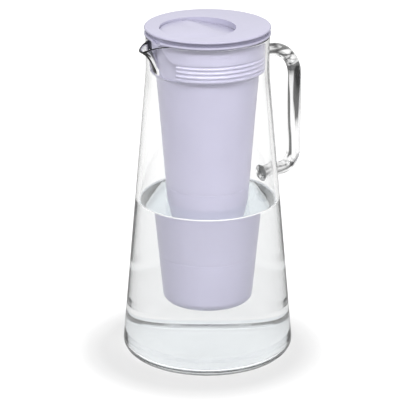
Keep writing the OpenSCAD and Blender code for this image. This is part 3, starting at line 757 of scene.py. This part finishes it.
def carbon_bowl():
    """Cup of the carbon stage, with its coupling ring and the outlet slots in its floor."""
    top = CUP_Z - SEAM_GAP
    foot_r = shell_r(BOTTOM_Z) + 0.05 * MM
    ring = shell_r(CUP_Z) - SKIRT_T - 0.2 * MM
    groove = CUP_Z + 5.3 * MM
    ring_top = CUP_Z + 7.7 * MM
    hole = ring - 3.2 * MM
    piece = turned("carbon_bowl", softened([
        (0, BOTTOM_Z, 0), (foot_r, BOTTOM_Z, 8 * MM), (shell_r(top), top, 0.25 * MM),
        (ring, top, 0), (ring, groove, 0), (ring - 1.6 * MM, groove, 0),
        (ring - 1.6 * MM, groove + 1.8 * MM, 0), (ring, groove + 1.8 * MM, 0), (ring, ring_top, 0),
        (hole, ring_top, 0), (hole, top - SHELL_T, 0), (shell_r(top) - SHELL_T, top - SHELL_T, 0),
        (foot_r - SHELL_T, BOTTOM_Z + SHELL_T, 6 * MM), (0, BOTTOM_Z + SHELL_T, 0)],
        math.radians(6)))
    slots = slab("slots", (SLOT_IN, -SLOT_HALF, BOTTOM_Z - 1 * MM),
                 (SLOT_OUT, SLOT_HALF, BOTTOM_Z + SHELL_T + 1 * MM))
    bpy.ops.object.mode_set(mode="EDIT")
    bpy.ops.mesh.select_all(action="SELECT")
    bpy.ops.mesh.spin(steps=SLOTS, angle=math.tau, center=(0, 0, 0), axis=(0, 0, 1), dupli=True)
    bpy.ops.mesh.select_all(action="SELECT")
    bpy.ops.mesh.remove_doubles(threshold=NEAR)
    bpy.ops.object.mode_set(mode="OBJECT")
    combine(piece, slots, "DIFFERENCE")
    return finish_mesh(piece)


# ---------------------------------------------------------------- lid
def at_opening(name, radius, low, high):
    """Upright cylinder round the middle of the refill opening."""
    return rod(name, radius, low, high, 128, (OPENING_X, 0))


def lid_disc():
    """Lid: thin plate over a step ring and a plug ring, with the walled refill opening."""
    wall_z = HINGE_Z - PIN_R - 2 * MM
    inner = PLUG_R - 2 * MM
    groove = PLUG_R - GASKET_SEAT
    piece = turned("lid_disc", softened([
        (0, LID_TOP, 0), (FLANGE_R, LID_TOP, 1.2 * MM), (FLANGE_R, LID_Z, 0.5 * MM),
        (STEP_R, LID_Z, 0.3 * MM), (STEP_R, FLANGE_Z, 0.2 * MM), (STEP_R - 2 * MM, FLANGE_Z, 0),
        (STEP_R - 2 * MM, LID_Z, 0), (PLUG_R, LID_Z, 0), (PLUG_R, GASKET_Z + GASKET_H, 0),
        (groove, GASKET_Z + GASKET_H, 0), (groove, GASKET_Z, 0), (PLUG_R, GASKET_Z, 0),
        (PLUG_R, PLUG_Z, 0.4 * MM), (inner, PLUG_Z, 0.4 * MM), (inner, LID_Z, 0), (0, LID_Z, 0)]))
    combine(piece, at_opening("collar", OPENING_R + 2 * MM, wall_z, LID_Z + 0.5 * MM), "UNION")
    under = FLAP_TOP - FLAP_T
    ledge = at_opening("ledge", OPENING_R + 0.5 * MM, under - 2 * MM, under)
    combine(ledge, slab("front", (-LID_CLEAR, -LID_CLEAR, LID_TOP - LID_CLEAR),
                        (LEDGE_X, LID_CLEAR, LID_TOP + LID_CLEAR)), "INTERSECT")
    combine(piece, at_opening("opening", OPENING_R, wall_z - 1 * MM, LID_TOP + 1 * MM),
            "DIFFERENCE")
    combine(piece, ledge, "UNION")
    combine(piece, at_opening("drop", OPENING_R - 2 * MM, wall_z - 1 * MM, LID_Z), "DIFFERENCE")
    combine(piece, axle("bore", PIN_R, -BORE_HALF, BORE_HALF), "DIFFERENCE")
    half = RECESS_HALF + SHELL_T + 2 * MM
    combine(piece, slab("relief", (-LID_CLEAR, -half, PLUG_Z - 1 * MM),
                        (-30 * MM, half, RIM_Z - 0.6 * MM)), "DIFFERENCE")
    return finish_mesh(piece, 30)


def lid_gasket():
    """Lipped ring in the groove of the lid's plug."""
    low = GASKET_Z + 0.05 * MM
    high = GASKET_Z + GASKET_H - 0.05 * MM
    middle = (low + high) / 2
    root = PLUG_R - GASKET_SEAT + 0.05 * MM
    lip = LID_MOUTH_R - 0.3 * MM
    return turned("lip_gasket", ring_outline(
        (root, low, 0), (PLUG_R, low, 0.15 * MM), (lip, middle - 0.2 * MM, 0.18 * MM),
        (lip, middle + 0.2 * MM, 0.18 * MM), (PLUG_R, high, 0.15 * MM), (root, high, 0)))


def rocking_flap():
    """Flap that rocks on its pin: flat over the opening, and a thumb scoop past the hinge."""
    low = FLAP_TOP - FLAP_T
    tip = FLAP_R + OPENING_X
    piece = at_opening("rocking_flap", FLAP_R, low, FLAP_TOP)
    bpy.ops.object.mode_set(mode="EDIT")
    bpy.ops.mesh.select_all(action="SELECT")
    bpy.ops.mesh.bisect(plane_co=(0, 0, 0), plane_no=(1, 0, 0))
    pick(piece, lambda co: co.x > NEAR)
    bpy.ops.transform.rotate(value=-math.atan(SCOOP_FALL / tip), orient_axis="Y",
                             center_override=(0, 0, FLAP_TOP))
    bpy.ops.object.mode_set(mode="OBJECT")
    apply_modifier(piece, "BEVEL", width=0.35 * MM, segments=3, limit_method="ANGLE",
                   angle_limit=math.radians(30))
    relief = OPENING_HALF - 1.15 * MM
    for side in (-1, 1):
        near, far = sorted((side * relief, side * (relief + 5 * MM)))
        combine(piece, slab("relief", (-4.5 * MM, near, low - 5 * MM),
                            (4.5 * MM, far, FLAP_TOP + 1 * MM)), "DIFFERENCE")
        near, far = sorted((side * (relief - 6.5 * MM), side * (relief - 0.45 * MM)))
        combine(piece, axle("barrel", BARREL_R, near, far), "UNION")
    combine(piece, axle("bore", PIN_R + 0.05 * MM, -BORE_HALF, BORE_HALF), "DIFFERENCE")
    return finish_mesh(piece, 40)


def pin():
    """Hinge pin with chamfered ends."""
    reach = OPENING_HALF + 2 * MM
    piece = axle("steel_pin", PIN_R, -reach, reach)
    apply_modifier(piece, "BEVEL", width=0.2 * MM, segments=2, limit_method="ANGLE",
                   angle_limit=math.radians(60))
    return finish_mesh(piece, 30)


# ---------------------------------------------------------------- studio
CAMERA_AT = Vector((-0.9136, -1.2572, 0.700))
CAMERA_PITCH = math.radians(20.5)
CAMERA_YAW = math.radians(-36)
CAMERA_LENS = 178.70
CAMERA_SHIFT = 0.0015

LAMP_AIM = Vector((0, 0, 0.14))
LAMP_DISTANCE = 1.5
LAMPS = {                         # bearing and rise in degrees, width and height, watts
    "front_strip": (0, 50, (1.2, 0.15), 13),
    "right_box": (50, 38, (0.5, 0.7), 6),
    "left_box": (-52, 38, (0.5, 0.7), 5)}

FLOOR_SHADE = 0.25                # how much light the floor gives back
FLOOR_Z = -0.2 * MM
PAINTED_PATCH_MIDDLE = Vector((-0.008, -0.002, 0))         # the middle of its dim patch
BACKDROP_R = 6
# the floor's glow by distance from there: as the camera sees it, as glass shows it through
# itself, and as gloss reflects it. The dips round the foot are painted shadow; the bright disc
# right under the jug, seen through glass, is a painted pool of light
SEEN_GLOW = ((0.060, 0.62), (0.080, 0.62), (0.096, 0.76), (0.115, 1.02))
LENT_GLOW = ((0.058, 1.05), (0.066, 0.72), (0.112, 0.78), (0.35, 0.82), (0.45, 0.92),
             (0.80, 0.92), (1.0, 0.50))
SHEEN_GLOW = ((0.1, 0.25), (0.2, 0.25))
WORLD_GLOW = ((0.06, 0.30), (0.22, 1.15), (0.60, 1.15), (0.75, 0.60))    # by height


def across(direction):
    """Unit vector on the floor, to the right of the camera or straight ahead of it."""
    turn = CAMERA_YAW + (0 if direction == "right" else math.pi / 2)
    return Vector((math.cos(turn), math.sin(turn), 0))


def camera():
    data = bpy.data.cameras.new("camera")
    data.sensor_width = 36
    data.lens = CAMERA_LENS
    data.shift_x = CAMERA_SHIFT
    data.clip_end = 20
    made = bpy.data.objects.new("camera", data)
    made.location = CAMERA_AT
    made.rotation_euler = (math.pi / 2 - CAMERA_PITCH, 0, CAMERA_YAW)
    bpy.context.scene.collection.objects.link(made)
    bpy.context.scene.camera = made


def softbox(name, bearing, rise, size, watts):
    """Rectangular area light; its bearing is counted from the camera to the right, in degrees."""
    data = bpy.data.lights.new(name, "AREA")
    data.shape = "RECTANGLE"
    data.size, data.size_y = size
    data.energy = watts
    made = bpy.data.objects.new(name, data)
    side, rise = math.radians(bearing), math.radians(rise)
    flat = across("right") * math.sin(side) - across("ahead") * math.cos(side)
    away = flat * math.cos(rise) + Vector((0, 0, math.sin(rise)))
    made.location = LAMP_AIM + away * LAMP_DISTANCE
    made.rotation_euler = away.to_track_quat("Z", "Y").to_euler()
    made.visible_camera = False
    made.visible_transmission = False
    bpy.context.scene.collection.objects.link(made)


def only_rays(piece, *kinds):
    """Makes a piece of the studio show for some kinds of ray alone."""
    for kind in ("camera", "diffuse", "glossy", "transmission"):
        setattr(piece, "visible_" + kind, kind in kinds)


def floor(name, glow, *kinds):
    """White floor that glows, but less close round the object: a painted shadow; where the glow
    stops give it, a brighter disc right under the jug paints a pool of light.
    """
    deselect()
    bpy.ops.mesh.primitive_plane_add(size=2 * BACKDROP_R, location=(0, 0, FLOOR_Z))
    piece = named(name)
    made = Finish(name, (FLOOR_SHADE,) * 3, 0.6, Specular_IOR_Level=0.0, Emission_Strength=1.0)
    away = made.add("VectorMath", {0: made.place}, operation="DISTANCE")
    away.inputs[1].default_value = PAINTED_PATCH_MIDDLE
    # the glow ramp paints the shadow round the foot and, for glass, the pool of light under the
    # jug
    made.to("Emission Color", made.ramp(away.outputs["Value"], *greys(glow)))
    dress(piece, made.material)
    only_rays(piece, *kinds)


def backdrop():
    """White studio wall all round."""
    deselect()
    bpy.ops.mesh.primitive_cylinder_add(vertices=SIDES, radius=BACKDROP_R, depth=2 * BACKDROP_R)
    piece = named("backdrop")
    dress(piece, Finish("backdrop", (0, 0, 0), 1.0, Specular_IOR_Level=0.0,
                        Emission_Color=(1, 1, 1, 1), Emission_Strength=1.1).material)
    piece.visible_shadow = False
    only_rays(piece, "camera")


def surroundings():
    """Soft light from all round, brightest a little above the horizon."""
    world = bpy.data.worlds.new("studio")
    bpy.context.scene.world = world
    world.use_nodes = True
    tree = world.node_tree
    height = tree.nodes.new("ShaderNodeSeparateXYZ")
    place = tree.nodes.new("ShaderNodeTexCoord")
    tree.links.new(place.outputs["Generated"], height.inputs["Vector"])
    tree.links.new(ramp_output(tree, height.outputs["Z"], greys(WORLD_GLOW)),
                   tree.nodes["Background"].inputs["Color"])


def lights():
    for name, settings in LAMPS.items():
        softbox(name, *settings)


# ---------------------------------------------------------------- assembly
camera()
surroundings()
lights()
backdrop()
floor("floor_seen", SEEN_GLOW, "camera")
floor("floor_lent", LENT_GLOW, "transmission")
floor("floor_sheen", SHEEN_GLOW, "glossy")

GLASS = clear_glass()
PLASTIC = lavender_plastic()
WHITE = white_plastic()
RUBBER = black_rubber()
STEEL = brushed_steel()

jug = glass_jug()
stand_for(jug, "jug", GLASS, "glass", "jug_body")
handle = glass_handle()
stand_for(handle, "jug", handle_glass_painted_streaks(), "glass", "jug_handle")
fill = water()
dress(fill, clear_water())
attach(fill, "jug")
for clear_piece in (jug, handle, fill):
    clear_piece.visible_shadow = False

stand_for(reservoir_shell(), "insert", PLASTIC, "lavender_plastic", "reservoir")
stand_for(ribbed_band(), "insert", lavender_silicone(), "lavender_rubber", "collar_seal")
stand_for(membrane_shell(), "membrane_filter", PLASTIC, "lavender_plastic", "membrane_housing")
stand_for(carbon_bowl(), "carbon_filter", PLASTIC, "lavender_plastic", "carbon_cup")
stand_for(lid_disc(), "lid", PLASTIC, "lavender_plastic", "lid_cover")
stand_for(lid_gasket(), "lid", white_silicone(), "white_rubber", "lid_gasket")
stand_for(pin(), "lid", STEEL, "steel", "hinge_pin")
stand_for(rocking_flap(), "flap", PLASTIC, "lavender_plastic", "flap")

FELT = needled_felt()
for node, material in {
        "inlet_screen": STEEL, "membrane_cap": PLASTIC, "spigot_o_ring": RUBBER,
        "cup_o_ring": RUBBER, "fibre_cage": WHITE, "potting_disc": potting_resin(),
        "membrane_fibres": hollow_fibre(), "cartridge_case": WHITE, "cartridge_lid": WHITE,
        "lower_felt": FELT, "middle_felt": FELT, "upper_felt": FELT,
        "ion_beads": resin_beads(), "carbon_bed": granular_carbon()}.items():
    dress(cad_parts[node], material)

bpy.context.scene.view_settings.view_transform = "Standard"
